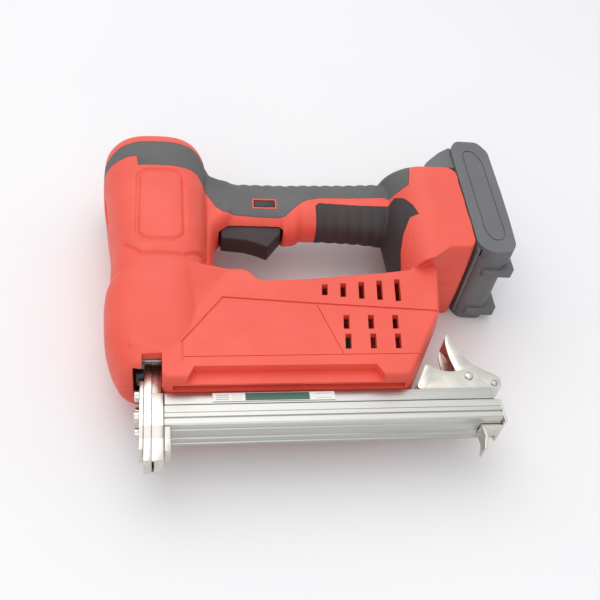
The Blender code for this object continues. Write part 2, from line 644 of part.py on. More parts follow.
def magazine_group():
    side = MID + MAG_HALF
    section = mirrored([(-92.8, side), (RAIL_BOTTOM, side), (RAIL_BOTTOM, MID + 4.8), (-108, MID + 4.8)])
    rail = prism("rail", section, MAG_FRONT + 0.1, 104.5, "X")
    finish_piece(rail, "magazine_rail", "satin_aluminium")
    top = RAIL_BOTTOM - GAP
    bottom = SLIDE_BOTTOM
    outline = mirrored([(-113.2, MID + 6.5), (top, MID + 6.5), (top, side), (-109.8, side),
                        (-110.3, side - 0.6), (-110.8, side), (-113.8, side), (bottom, side - 1.7),
                        (bottom, MID + 6.2), (bottom + 0.7, MID + 5.4)])
    slide = prism("slide", outline, MAG_FRONT + 0.1, MAG_REAR, "X")
    finish_piece(slide, "magazine_slide", "satin_aluminium")
    catch = prism("catch", [(-129, MID - 7), (-129, MID + 7), (-121, MID + 8), (bottom - GAP, MID + 12.6),
                            (bottom - GAP, MID - 12.6), (-121, MID - 8)], -104.9, -101.0, "X")
    finish_piece(catch, "slide_front_catch", "nickel")
    leaf = [(94.2, -116.8), (95.8, -116.8), (96.6, -124), (93.2, -133), (91.8, -133), (94.8, -124)]
    end = box("end", (MAG_REAR + GAP, MAG_REAR + 1.8), (bottom - 1.9, top - 0.2), (MID - 12.6, MID + 12.6))
    end = join(end, box("tab", (94.0, MAG_REAR + 1.8), (bottom - 1.9, bottom - GAP), (MID - 6, MID + 6)),
               prism("leaf", leaf, MID - 5.8, MID + 5.8))
    finish_piece(end, "slide_end_plate", "nickel")
    pusher = box("pusher", (-100, -84), (-112.8, -101.9), (MID - 6.1, MID + 6.1))
    pusher = cut(pusher, box("saddle", (-110, -70), (-108.4, -95), (MID - 5.2, MID + 5.2)),
                 rod("rod_bore", (-110, -110.7, MID), "X", 1.25, 40, 12))
    finish_piece(pusher, "pusher", "steel", origin=(-92, -110.7, MID))
    finish_piece(rod("rod", (-104.6, -110.7, MID), "X", 0.9, 208.6, 10), "pusher_rod", "steel")
    spring = coil_spring("pusher_spring", (-83.5, -110.7, MID), "X", 1.65, 0.3, 186.5, 20, 6)
    finish_piece(spring, "pusher_spring", "spring_steel")
    finish_piece(box("label", (-76, 0), (-99.9, -93.9), (side + GAP, side + 0.7)), "magazine_label", "label")


# ---------------------------------------------------------------- rear latch
LEVER_HALF = 9.5
RIVET_SPOT = (108.0, -89.0)
PIN_REACH = 12.6


def latch_group():
    x, y = LEVER_PIVOT
    wall = [(54, -92.4), (112.5, -92.4), (112.5, -86), (104, -79), (94, -76.5), (86, -78.5), (78, -79.5),
            (70, -76.5), (65, -71.8)]
    bracket = prism("bracket", wall, MID - 12.2, MID + 12.2)
    bracket = cut(bracket, box("between", (40, 120), (-91.2, -60), (MID - 10.6, MID + 10.6)),
                  rod("pin_bore", (x, y, 0), "Z", 2.1, 80),
                  rod("rivet_bore", (*RIVET_SPOT, 0), "Z", 1.7, 80, 12))
    finish_piece(bracket, "rear_bracket", "nickel")
    horn = [(86, -45), (83, -53), (83, -65), (85, -76), (86.5, -84), (92, -88), (98, -87), (104, -84.5),
            (112, -87), (115, -85), (113, -81), (104, -76), (96, -70), (92, -63), (90, -53)]
    lever = prism("lever", horn, MID - LEVER_HALF, MID + LEVER_HALF)
    inside = [(70, -42), (70, -95), (97, -95), (97, -74.5), (94.2, -71), (90.3, -63.5), (88.3, -53.5),
              (84.6, -46)]
    lever = cut(lever, prism("channel", inside, MID - LEVER_HALF + 1.6, MID + LEVER_HALF - 1.6),
                rod("pin_bore", (x, y, 0), "Z", 2.1, 80))
    finish_piece(lever, "release_lever", "nickel", origin=(x, y, MID))
    pin = join(rod("pin", (x, y, MID - PIN_REACH), "Z", 1.8, 2 * PIN_REACH, 16),
               rod("pin_head", (x, y, MID + 12.5), "Z", 2.8, 1.2, 16))
    finish_piece(pin, "lever_pin", "steel")
    spring = coil_spring("lever_spring", (x, y, MID - 4.5), "Z", 2.9, 0.45, 9.0, 6)
    finish_piece(spring, "lever_spring", "spring_steel")
    rivet = join(rod("rivet", (*RIVET_SPOT, MID - PIN_REACH), "Z", 1.4, 2 * PIN_REACH, 12),
                 rod("rivet_head", (*RIVET_SPOT, MID + 12.5), "Z", 2.2, 1.0, 12))
    finish_piece(rivet, "stop_rivet", "steel")


# ---------------------------------------------------------------- battery
def battery_group():
    slab = [(0.3, -52), (6.5, -59.5), (12, -61), (24.5, -59.5), (28.8, -53), (30.0, -28), (30.6, 2),
            (30.6, 50), (24, 61.2), (6, 61.2), (0.3, 52)]
    body = [(0.3, -53), (5, -59.5), (21, -60), (25.5, -55), (25.5, 55), (21, 60), (5, 60), (0.3, 55)]
    rib = [(6, -55), (8, -61.5), (30, -61.5), (31.5, -60), (31.5, -22), (29, -18), (29, 55), (24, 60.5),
           (8, 60.5)]
    case = pack_prism("case", body, 0.0, 66.0)
    case = join(case, pack_prism("slab", slab, 61.0, 75.0), pack_prism("rib_high", rib, 49.5, 56.5),
                pack_prism("rib_low", rib, 6.0, 13.5))
    case = cut(case, pack_box("cell_room", (-5, 23.2), (-56, 56), (3.0, 72.0)))
    finish_piece(case, "battery_case", "pack_grey")
    cover = pack_box("cover", (0.3, 2.6), (-55.7, 55.7), (3.3, 71.7))
    wedge = [(-23.5, 30.8), (0.05, 30.8), (0.05, 55), (-9.8, 48), (-20, 37.5), (-23.5, 33)]
    neck_height = (MID - TONGUE_NECK, MID + TONGUE_NECK)
    head_height = (MID - TONGUE_HEAD, MID + TONGUE_HEAD)
    cover = join(cover, pack_box("neck", (TONGUE_LIP - 2, 1.0), (TONGUE_LOW, 35), neck_height),
                 pack_box("head", (TONGUE_FRONT, TONGUE_LIP), (TONGUE_LOW, 35), head_height),
                 pack_prism("wedge", wedge, 3.5, 73.0),
                 pack_box("wedge_root", (-4, 1.0), (31, 54), (4.0, 71.0)))
    cover = cut(cover, pack_box("button_room", (-15.3, -6.7), (34.5, 70), (MID - 12.3, MID + 12.3)))
    finish_piece(cover, "battery_cover", "pack_grey")
    button = pack_prism("button", [(-15, 37), (-7, 37), (-7, 51.8), (-15, 44)], MID - 12, MID + 12)
    finish_piece(button, "battery_button", "black")
    for number, step in enumerate((-38.4, -19.2, 0.0, 19.2, 38.4), 1):
        start = (PACK_ORIGIN[0] + 12.9, PACK_ORIGIN[1] + step, MID - CELL_LENGTH / 2)
        cell = tilted(rod("cell", start, "Z", CELL_RADIUS, CELL_LENGTH, 20))
        finish_piece(cell, "battery_cell_" + str(number), "cell_blue")


trigger_group()
drive_group()
electronics()
nose_group()
magazine_group()
latch_group()
battery_group()

for scrap in list(cutters.objects):
    bpy.data.objects.remove(scrap, do_unlink=True)
bpy.data.collections.remove(cutters)
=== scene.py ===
import math

import bmesh
import bpy
from mathutils import Matrix, Vector


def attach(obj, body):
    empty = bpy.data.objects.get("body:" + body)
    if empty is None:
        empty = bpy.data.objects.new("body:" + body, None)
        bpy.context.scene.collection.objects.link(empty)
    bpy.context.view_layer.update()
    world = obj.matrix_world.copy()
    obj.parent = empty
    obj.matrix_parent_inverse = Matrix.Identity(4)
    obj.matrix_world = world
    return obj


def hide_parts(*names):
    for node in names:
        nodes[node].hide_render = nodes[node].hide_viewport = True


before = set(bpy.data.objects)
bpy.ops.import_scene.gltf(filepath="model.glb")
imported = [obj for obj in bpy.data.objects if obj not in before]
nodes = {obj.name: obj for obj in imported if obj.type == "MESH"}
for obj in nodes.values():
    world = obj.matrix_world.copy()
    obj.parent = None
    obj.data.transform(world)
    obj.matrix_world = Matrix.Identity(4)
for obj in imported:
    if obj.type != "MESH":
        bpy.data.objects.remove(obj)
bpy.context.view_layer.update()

mm = 0.001
mid = 37.5  # the split plane's height, in mm
pocketGap = 0.3
# heights from below to above the whole tool, for shapes that cut or fill it from side to side
zone = (-15, 90)
past = (-10, 85)
through = (-5, 80)


# small tools for shapes, all in mm

def addThing(name, bm):  # a bmesh becomes an object in the scene
    bmesh.ops.recalc_face_normals(bm, faces=bm.faces)
    mesh = bpy.data.meshes.new(name)
    bm.to_mesh(mesh)
    bm.free()
    thing = bpy.data.objects.new(name, mesh)
    bpy.context.scene.collection.objects.link(thing)
    return thing


def bake(thing):  # applies the modifiers
    graph = bpy.context.evaluated_depsgraph_get()
    mesh = bpy.data.meshes.new_from_object(thing.evaluated_get(graph))
    thing.modifiers.clear()
    thing.data = mesh
    return thing


def twin(thing, name="twin"):
    copy = bpy.data.objects.new(name, thing.data.copy())
    bpy.context.scene.collection.objects.link(copy)
    return copy


def drop(*things):
    for thing in things:
        bpy.data.objects.remove(thing, do_unlink=True)


def blendWith(target, tools, how):
    for tool in tools:
        step = target.modifiers.new("step", "BOOLEAN")
        step.operation = how
        step.solver = "MANIFOLD"
        step.object = tool
        bake(target)
        drop(tool)
    return target


def carve(target, *tools):
    return blendWith(target, tools, "DIFFERENCE")


def weld(target, *tools):
    return blendWith(target, tools, "UNION")


def keep(target, *tools):
    return blendWith(target, tools, "INTERSECT")


def loft(name, loops):
    bm = bmesh.new()
    rings = [[bm.verts.new(Vector(p) * mm) for p in loop] for loop in loops]
    count = len(rings[0])
    for low, high in zip(rings, rings[1:]):
        for i in range(count):
            j = (i + 1) % count
            bm.faces.new((low[i], low[j], high[j], high[i]))
    bm.faces.new(rings[0])
    bm.faces.new(rings[-1])
    bmesh.ops.triangulate(bm, faces=bm.faces)
    return addThing(name, bm)


def slab(name, outline, low, high, axis="Z"):  # XY outline for Z, YZ for X, XZ for Y
    turn = {
        "Z": lambda a, b, c: (a, b, c),
        "X": lambda a, b, c: (c, a, b),
        "Y": lambda a, b, c: (a, c, b),
    }[axis]
    return loft(name, [[turn(a, b, c) for a, b in outline] for c in (low, high)])


def block(name, x, y, z):
    return slab(name, [(x[0], y[0]), (x[1], y[0]), (x[1], y[1]), (x[0], y[1])], z[0], z[1])


def turned(name, start, axis, profile, sides=48):  # profile: (distance along, radius), closed at both ends
    loops = []
    for along, radius in profile:
        loop = []
        for i in range(sides):
            a = radius * math.cos(2 * math.pi * (i + 0.5) / sides)
            b = radius * math.sin(2 * math.pi * (i + 0.5) / sides)
            shift = {"X": (along, a, b), "Y": (b, along, a), "Z": (a, b, along)}[axis]
            loop.append(tuple(Vector(start) + Vector(shift)))
        loops.append(loop)
    return loft(name, loops)


def rounded(outline, radius, steps=6):  # the same outline with round corners
    points = []
    count = len(outline)
    for i in range(count):
        here = Vector(outline[i])
        before = Vector(outline[i - 1]) - here
        after = Vector(outline[(i + 1) % count]) - here
        reach = min(radius, before.length * 0.45, after.length * 0.45)
        start = here + before.normalized() * reach
        end = here + after.normalized() * reach
        for k in range(steps + 1):
            t = k / steps
            points.append(tuple(start * (1 - t) ** 2 + here * 2 * t * (1 - t) + end * t ** 2))
    return points


def grown(outline, distance):  # every side of a counter-clockwise outline moves out
    moved = []
    count = len(outline)
    for i in range(count):
        first = (Vector(outline[i]) - Vector(outline[i - 1])).normalized()
        second = (Vector(outline[(i + 1) % count]) - Vector(outline[i])).normalized()
        normal = (Vector((first.y, -first.x)) + Vector((second.y, -second.x))).normalized()
        lean = max(0.35, normal.dot(Vector((first.y, -first.x))))
        moved.append(tuple(Vector(outline[i]) + normal * (distance / lean)))
    return moved


def stroke(points, width):  # a line of some width as a closed outline
    left = []
    right = []
    for i, point in enumerate(points):
        here = Vector(point)
        before = here - Vector(points[max(i - 1, 0)])
        after = Vector(points[min(i + 1, len(points) - 1)]) - here
        along = (before.normalized() + after.normalized()).normalized()
        side = Vector((-along.y, along.x)) * width / 2
        left.append(tuple(here + side))
        right.append(tuple(here - side))
    return right + left[::-1]


def flow(rows, place):  # a smooth curve through rows of numbers whose first column rises
    keys = [row[0] for row in rows]
    i = max(k for k in range(len(keys) - 1) if keys[k] <= place or k == 0)
    span = keys[i + 1] - keys[i]
    t = (place - keys[i]) / span

    def slope(k, column):  # flat at a peak, a mean of the two sides elsewhere
        if k == 0 or k == len(rows) - 1:
            j = 1 if k == 0 else k
            return (rows[j][column] - rows[j - 1][column]) / (keys[j] - keys[j - 1])
        one = (rows[k][column] - rows[k - 1][column]) / (keys[k] - keys[k - 1])
        two = (rows[k + 1][column] - rows[k][column]) / (keys[k + 1] - keys[k])
        return 0.0 if one * two <= 0 else 2 * one * two / (one + two)

    values = []
    for column in range(1, len(rows[0])):
        a = rows[i][column]
        b = rows[i + 1][column]
        heights = (2 * t ** 3 - 3 * t ** 2 + 1) * a + (-2 * t ** 3 + 3 * t ** 2) * b
        leaving = (t ** 3 - 2 * t ** 2 + t) * span * slope(i, column)
        arriving = (t ** 3 - t ** 2) * span * slope(i + 1, column)
        values.append(heights + leaving + arriving)
    return values


def cadCopy(name, edge=0.35, steps=2):  # a CAD node's own shape with its edges eased
    piece = twin(nodes[name], name + "Look")
    piece.data.transform(nodes[name].matrix_world)
    bm = bmesh.new()
    bm.from_mesh(piece.data)
    bmesh.ops.remove_doubles(bm, verts=bm.verts, dist=0.00002)
    flat = math.radians(1)
    bmesh.ops.dissolve_limit(bm, angle_limit=flat, verts=bm.verts, edges=bm.edges)
    bm.to_mesh(piece.data)
    bm.free()
    piece.data.materials.clear()
    ease(piece, edge, steps)
    return piece


def ease(piece, width, steps=2, angle=28):
    edges = piece.modifiers.new("edges", "BEVEL")
    edges.width = width * mm
    edges.segments = steps
    edges.limit_method = "ANGLE"
    edges.angle_limit = math.radians(angle)
    edges.harden_normals = False
    return bake(piece)


def settle(piece, body, look, replaced=(), angle=35):
    piece.data.materials.clear()
    piece.data.materials.append(look)
    piece.data.shade_smooth()
    piece.data.set_sharp_from_angle(angle=math.radians(angle))
    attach(piece, body)
    if replaced:
        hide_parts(*replaced)
    return piece


# materials

def newLook(name, colour, rough, metal=0.0, gloss=0.5):
    look = bpy.data.materials.new(name)
    look.use_nodes = True
    shader = look.node_tree.nodes["Principled BSDF"]
    shader.inputs["Base Color"].default_value = (*colour, 1)
    shader.inputs["Roughness"].default_value = rough
    shader.inputs["Metallic"].default_value = metal
    shader.inputs["Specular IOR Level"].default_value = gloss
    return look, look.node_tree.nodes, look.node_tree.links, shader


def noiseAt(parts, links, scale, detail, stretch=(1, 1, 1)):
    place = parts.new("ShaderNodeTexCoord")
    mapping = parts.new("ShaderNodeMapping")
    mapping.inputs["Scale"].default_value = stretch
    noise = parts.new("ShaderNodeTexNoise")
    noise.inputs["Scale"].default_value = scale
    noise.inputs["Detail"].default_value = detail
    links.new(place.outputs["Object"], mapping.inputs["Vector"])
    links.new(mapping.outputs["Vector"], noise.inputs["Vector"])
    return noise.outputs["Fac"]


def ramped(parts, links, source, low, high, first=0.3, last=0.7):
    ramp = parts.new("ShaderNodeValToRGB")
    ramp.color_ramp.elements[0].position = first
    ramp.color_ramp.elements[1].position = last
    ramp.color_ramp.elements[0].color = (*low, 1)
    ramp.color_ramp.elements[1].color = (*high, 1)
    links.new(source, ramp.inputs["Fac"])
    return ramp.outputs["Color"]


def bumped(parts, links, shader, source, strength, depth):
    bump = parts.new("ShaderNodeBump")
    bump.inputs["Strength"].default_value = strength
    bump.inputs["Distance"].default_value = depth
    links.new(source, bump.inputs["Height"])
    links.new(bump.outputs["Normal"], shader.inputs["Normal"])


def mouldedLook(name, dark, light, rough, grain=1400.0, depth=0.00006, strength=0.35, gloss=0.5):
    look, parts, links, shader = newLook(name, light, rough, 0.0, gloss)
    cloud = noiseAt(parts, links, 22.0, 4.0)
    links.new(ramped(parts, links, cloud, dark, light), shader.inputs["Base Color"])
    dull = ramped(parts, links, noiseAt(parts, links, 60.0, 6.0), (rough - 0.06,) * 3, (rough + 0.08,) * 3)
    links.new(dull, shader.inputs["Roughness"])
    bumped(parts, links, shader, noiseAt(parts, links, grain, 2.0), strength, depth)
    return look


def metalLook(name, dark, light, rough, stretch=(1, 1, 1), scale=260.0, depth=0.00003, strength=0.25):
    look, parts, links, shader = newLook(name, light, rough, 1.0)
    lines = noiseAt(parts, links, scale, 6.0, stretch)
    links.new(ramped(parts, links, lines, dark, light), shader.inputs["Base Color"])
    dull = ramped(parts, links, lines, (rough - 0.05,) * 3, (rough + 0.07,) * 3)
    links.new(dull, shader.inputs["Roughness"])
    bumped(parts, links, shader, lines, strength, depth)
    return look


def stripedLabel(spec):
    look, parts, links, shader = newLook("labelFilm", spec["paper"], 0.35)
    place = parts.new("ShaderNodeTexCoord")
    axes = parts.new("ShaderNodeSeparateXYZ")
    links.new(place.outputs["Object"], axes.inputs["Vector"])
    colour = spec["paper"]
    last = None
    for low, high, bottom, top, tint in spec["bands"]:
        inside = None
        edges = (("X", low, True), ("X", high, False), ("Y", bottom, True), ("Y", top, False))
        for output, edge, above in edges:
            test = parts.new("ShaderNodeMath")
            test.operation = "GREATER_THAN" if above else "LESS_THAN"
            test.inputs[1].default_value = edge * mm
            links.new(axes.outputs[output], test.inputs[0])
            if inside is None:
                inside = test.outputs[0]
                continue
            both = parts.new("ShaderNodeMath")
            both.operation = "MULTIPLY"
            links.new(inside, both.inputs[0])
            links.new(test.outputs[0], both.inputs[1])
            inside = both.outputs[0]
        mix = parts.new("ShaderNodeMix")
        mix.data_type = "RGBA"
        links.new(inside, mix.inputs["Factor"])
        mix.inputs["A"].default_value = (*colour, 1)
        if last is not None:
            links.new(last, mix.inputs["A"])
        mix.inputs["B"].default_value = (*tint, 1)
        last = mix.outputs["Result"]
    links.new(last, shader.inputs["Base Color"])
    return look


looks = {
    "red": mouldedLook("redShell", (0.81, 0.092, 0.059), (0.87, 0.110, 0.071), 0.50, strength=0.3),
    "grip": mouldedLook("greyRubber", (0.115, 0.115, 0.115), (0.15, 0.15, 0.15),
                        0.72, 1100.0, 0.00012, 0.5, 0.35),
    "darkGrip": mouldedLook("darkRubber", (0.034, 0.026, 0.026), (0.050, 0.038, 0.039),
                            0.66, 1100.0, 0.0001, 0.45),
    "pack": mouldedLook("packPlastic", (0.135, 0.137, 0.145), (0.17, 0.172, 0.18),
                        0.60, 900.0, 0.00012, 0.5, 0.4),
    "black": mouldedLook("blackPlastic", (0.014, 0.014, 0.016), (0.024, 0.024, 0.026), 0.5),
    "aluminium": metalLook("satinAluminium", (0.52, 0.52, 0.495), (0.62, 0.62, 0.59),
                           0.38, (0.02, 1, 1), 900.0),
    "nickel": metalLook("nickelPlate", (0.60, 0.575, 0.52), (0.71, 0.685, 0.63), 0.26, scale=90.0),
    "steel": metalLook("machinedSteel", (0.42, 0.42, 0.43), (0.6, 0.6, 0.61), 0.36, scale=300.0),
    "darkSteel": metalLook("blackSteel", (0.03, 0.03, 0.035), (0.06, 0.06, 0.065), 0.4, scale=300.0),
    "copper": metalLook("copperWire", (0.5, 0.17, 0.06), (0.8, 0.34, 0.15), 0.35, (1, 40, 1),
                        60.0, 0.0002, 0.6),
    "board": mouldedLook("boardLacquer", (0.01, 0.14, 0.05), (0.02, 0.22, 0.09), 0.35, 300.0, 0.0001),
    "cell": mouldedLook("cellSleeve", (0.03, 0.11, 0.34), (0.05, 0.16, 0.42), 0.35, 200.0, 0.00005),
    "bumper": mouldedLook("bumperRubber", (0.02, 0.02, 0.02), (0.035, 0.035, 0.035), 0.85),
}
print("materials ready")

# the red body, its two grips and everything cut into them

shell = {
    # y, front x, rear x, half width of the head, nose end first
    "head": [(-79.0, -130.0, -87.0, 22.0), (-77.5, -133.0, -84.0, 24.2), (-74.0, -135.0, -82.0, 25.2),
             (-66.0, -138.5, -79.0, 27.0),
             (-46.0, -143.0, -77.0, 31.0), (-25.0, -144.0, -77.0, 34.0), (-15.0, -143.3, -76.5, 35.4),
             (-7.0, -141.0, -75.5, 36.3), (11.0, -141.0, -75.0, 37.5), (56.0, -145.5, -73.0, 37.5),
             (89.0, -149.0, -72.5, 37.5),
             (102.0, -149.3, -72.5, 37.5), (114.0, -149.0, -73.5, 36.7), (123.0, -146.0, -76.0, 34.0),
             (130.0, -140.0, -81.0, 29.5), (134.2, -131.0, -88.0, 22.5), (135.5, -120.0, -97.0, 13.0)],
    "headPower": 2.9,
    "headMiddle": 30.0,
    # x, lower y, upper y, half width of the handle
    "handle": [(-96.0, 52.0, 101.0, 22.0), (-72.0, 51.0, 103.0, 19.0), (-60.0, 54.0, 102.8, 17.5),
               (-21.0, 53.5, 103.0, 17.0), (-16.0, 49.0, 103.2, 17.0), (-9.0, 50.0, 103.4, 17.0),
               (-2.0, 54.5, 103.6, 17.0), (30.0, 53.0, 105.0, 17.0), (58.0, 50.0, 106.5, 18.0),
               (78.0, 46.0, 107.0, 20.0)],
    "handlePower": 2.3,
    "neck": ([(-90, 122), (-90, -4), (-71, 0), (-69.5, 30), (-67, 46), (-61, 53), (-50, 60), (-48, 96),
              (-55, 102.5), (-63, 105), (-69, 111), (-72, 121)],
             [(-90, 112), (-90, 4), (-77, 6), (-76, 32), (-74, 50), (-68, 58), (-58, 66), (-56, 90),
              (-61, 93), (-67, 94), (-79, 97.5), (-83, 112)], 17.0),
    "foot": ([(61, -4), (70, 2), (88, 7), (111, 8), (115.1, 14), (118, 102), (113, 107.5), (68, 107),
              (61, 104), (60, 56)],
             [(80, -2), (86, 2), (96, 11), (111, 10.5), (115.2, 17), (117.5, 88), (113, 92.5), (98, 93),
              (94, 88), (93.5, 50)], 37.5),
    "lower": ([(-122, 2), (-122, -72), (-106.5, -72.2), (-106.5, -92.5), (48, -92.5), (52, -90), (81, -38),
               (90, 8), (66, 2), (46, -1), (-7, -7), (-40, -9), (-49, 2)],
              [(-118, -4), (-118, -70), (-106.5, -70.5), (-106.5, -89.5), (45, -89.5), (48, -87), (76, -40),
               (85, 3), (66, -3), (46, -6), (-7, -12), (-43, -14), (-50, -4)], 26.5),
    # the ramp from the head down to the lower body: its foot, its crest, the crest's height and fall
    "rampFoot": [(-126, -66), (-112, -70), (-104, -66), (-66, -10), (-62, -3), (-74, 0), (-130, 0)],
    "rampCrest": [(-119, -44), (-114, -46), (-110, -44), (-96, -12), (-94, -4), (-96, -2), (-119, -2)],
    "rampHeight": 36.0,
    "rampFall": 0.11,
    "cornerRadius": 5.0,
    "voxel": 0.85,
    "smoothPasses": 6,
    "scoreDepth": 0.9,
    "seam": 0.12,  # half the gap between the halves
    "skin": 2.0,
    "wall": 4.6,
    "bedSteps": 8,  # rings of the hidden inner forms
}
upperGripOutline = [
    (-160, 95), (-149, 95), (-140, 96), (-131, 98), (-124, 98), (-123, 88), (-86, 88), (-81, 87),
    (-78.5, 84), (-73, 76), (-68, 68), (-62.6, 62.6), (-35, 61), (-16.5, 60.5), (-10, 67), (-3, 74),
    (3, 77), (11, 79), (62, 80), (66, 76), (73, 77), (78, 79), (82, 98), (82, 130), (-62, 130),
    (-72, 115.5), (-77, 111), (-85, 114), (-96, 115.3), (-124, 114.5), (-136, 111.5), (-145, 106.5),
    (-160, 103.5)]
lowerGripOutline = [
    (8, 40), (50, 40), (46, 8), (62.5, 8), (64, 22), (67, 34), (73, 46), (79, 46), (77, 57), (73, 67),
    (68, 73), (64, 70), (11, 73.5), (8, 71)]
ribs = {"pitch": 9.2, "depth": 1.25, "first": -58.0, "last": 63.0, "side": 0.28}


def section(low, high, half, power, sides, inset):  # a superellipse across the split plane
    centre = (low + high) / 2
    reach = (high - low) / 2 - inset
    points = []
    for i in range(sides):
        angle = 2 * math.pi * (i + 0.5) / sides
        c = math.cos(angle)
        s = math.sin(angle)
        points.append((centre + math.copysign(abs(c) ** (2 / power), c) * reach,
                       mid + math.copysign(abs(s) ** (2 / power), s) * (half - inset)))
    return points


def headSolid(inset, sides=112, step=1.0):
    rows = shell["head"]
    low = rows[0][0]
    span = rows[-1][0] - low
    middle = shell["headMiddle"]
    count = int(span / step)
    loops = []
    for i in range(count + 1):
        y = low + span * (1 - (1 - i / count) ** 1.25)
        front, rear, half = flow(rows, y)
        height = middle + (y - middle) * (rows[-1][0] - middle - inset) / (rows[-1][0] - middle)
        ring = section(front, rear, half, shell["headPower"], sides, inset)
        loops.append([(x, height, z) for x, z in ring])
    return loft("head", loops)


def handleSolid(inset, ribbed, sides=96, step=0.8):
    rows = shell["handle"]
    low = rows[0][0]
    span = rows[-1][0] - low
    count = int(span / step)
    loops = []
    for i in range(count + 1):
        x = low + span * i / count
        bottom, top, half = flow(rows, x)
        wave = abs(math.sin(math.pi * (x - ribs["first"]) / ribs["pitch"])) ** 0.6
        dent = ribs["depth"] * (1 - wave) if ribbed and ribs["first"] < x < ribs["last"] else 0.0
        ring = []
        for y, z in section(bottom, top, half, shell["handlePower"], sides, inset):
            upper = min(1.0, max(ribs["side"], (y - 84) / 6))
            lower = min(1.0, max(0.0, (68 - y) / 6)) if x > 10 else 0.0
            pull = dent * max(upper, lower)
            centre = Vector(((bottom + top) / 2, mid))
            out = (Vector((y, z)) - centre)
            ring.append((x, *(Vector((y, z)) - out.normalized() * pull)))
        loops.append(ring)
    return loft("handle", loops)


def pillow(name, spec, inset, steps):
    middle, side, half = spec
    radius = shell["cornerRadius"]
    middle = rounded(grown(middle, -inset), radius)
    side = rounded(grown(side, -inset), radius)
    loops = []
    for i in range(-steps, steps + 1):
        angle = math.pi / 2 * i / steps
        blend = math.cos(angle)
        height = mid + (half - inset) * math.sin(angle)
        loops.append([(*(Vector(s) + (Vector(m) - Vector(s)) * blend), height) for m, s in zip(middle, side)])
    return loft(name, loops)


def rampSolid(inset):
    low = shell["lower"][2] - 0.1 - inset
    foot = [(x, y, low) for x, y in grown(shell["rampFoot"], -inset)]
    crest = [(x, y, shell["rampHeight"] + shell["rampFall"] * (y - 2) - inset)
             for x, y in grown(shell["rampCrest"], -inset)]
    order = ((-1, crest), (-1, foot), (1, foot), (1, crest))
    return loft("ramp", [[(x, y, mid + side * z) for x, y, z in loop] for side, loop in order])


def bodySolid(name, inset, ribbed=False, steps=18):
    body = pillow(name, shell["lower"], inset, steps)
    return weld(body, pillow("foot", shell["foot"], inset, steps), headSolid(inset),
                pillow("neck", shell["neck"], inset, steps), handleSolid(inset, ribbed), rampSolid(inset))


def remade(piece, voxel, passes):  # one even skin, softened where the forms meet
    grid = piece.modifiers.new("grid", "REMESH")
    grid.mode = "VOXEL"
    grid.voxel_size = voxel * mm
    grid.adaptivity = 0.0
    soften = piece.modifiers.new("soften", "SMOOTH")
    soften.factor = 0.5
    soften.iterations = passes
    return bake(piece)


pack = {"tilt": math.radians(-1.9), "origin": (117.2, 66.0)}


def leaned(piece):
    pivot = Vector((*pack["origin"], 0)) * mm
    turn = Matrix.Translation(pivot) @ Matrix.Rotation(pack["tilt"], 4, "Z") @ Matrix.Translation(-pivot)
    piece.data.transform(turn)
    return piece


def packSlab(name, outline, low, high):
    x, y = pack["origin"]
    return leaned(slab(name, [(x + u, y + v) for u, v in outline], low, high))


def packBlock(name, u, v, z):
    return packSlab(name, [(u[0], v[0]), (u[1], v[0]), (u[1], v[1]), (u[0], v[1])], z[0], z[1])


bed = bodySolid("bed", shell["skin"] + pocketGap, steps=shell["bedSteps"])
core = bodySolid("core", shell["skin"], steps=shell["bedSteps"])
hollow = bodySolid("hollow", shell["wall"], steps=shell["bedSteps"])
shallow = bodySolid("shallow", shell["scoreDepth"])

grooves = {
    "width": 1.7,
    "headPanel": [(-123, 20), (-117, 14), (-97, 14), (-91, 20), (-91, 78), (-96, 83), (-118, 83), (-123, 78)],
    "collar": [(-131, 13), (-128.5, 9), (-120, 1.2), (-91, 1.2), (-81, 8), (-76, 12)],
    "softWidth": 3.0,
    "softDepth": 1.5,
    "airSlot": {"x": (-152, -142.6), "y": (50, 73), "z": (mid + 5, mid + 15)},
    "panel": [(-94, -79), (-94, -64), (-67, -28), (-10, -33), (76, -39.5)],
    "lines": [[(-94, -75.5), (60, -74.5)], [(-6, -33), (7, -75)]],
    "faintWidth": 0.5,
}
window = {"x": (-39.0, -23.0), "y": (68.5, 75.5), "rim": 1.0}
vents = {
    # x at the top, upper y, lower y
    "rows": [(0.0, -16.5, -26.0), (12.8, -15.3, -27.5), (25.6, -14.0, -29.0), (38.4, -12.7, -30.0),
             (51.2, -11.4, -31.0), (11.0, -43.0, -54.5), (27.5, -43.0, -54.5), (44.0, -43.0, -54.5),
             (10.0, -58.5, -70.5), (26.5, -58.5, -70.5), (43.0, -58.5, -70.5)],
    "width": 4.0,
    "lean": 0.12,
}


def ventTools():
    tools = []
    for x, top, low in vents["rows"]:
        lean = (top - low) * vents["lean"]
        outline = [(x - lean, low), (x - lean + vents["width"], low), (x + vents["width"], top), (x, top)]
        tools.append(slab("vent", outline, *through))
    return tools


def scored(target, outline, depthSolid):  # a groove that follows the surface, on both sides
    tool = slab("score", outline, *through)
    return carve(target, carve(tool, twin(depthSolid)))


def softGrooves(target):  # cut before the skin is remade, so their edges come out round
    deep = bodySolid("deep", grooves["softDepth"])
    reach = grooves["softWidth"] / 2
    panel = rounded(grooves["headPanel"], 2)
    island = slab("island", grown(panel, -reach), -10, 90)
    edge = carve(slab("edge", grown(panel, reach), *through), island, twin(deep))
    target = scored(carve(target, edge), stroke(grooves["collar"], grooves["softWidth"]), deep)
    drop(deep)
    slot = grooves["airSlot"]
    low, high = slot["z"]
    return carve(target, block("airSlot", slot["x"], slot["y"], (low, high)),
                 block("airSlotBelow", slot["x"], slot["y"], (2 * mid - high, 2 * mid - low)))


solid = remade(softGrooves(bodySolid("solid", 0.0, True)), shell["voxel"], shell["smoothPasses"])
print("body skin ready", len(solid.data.polygons))


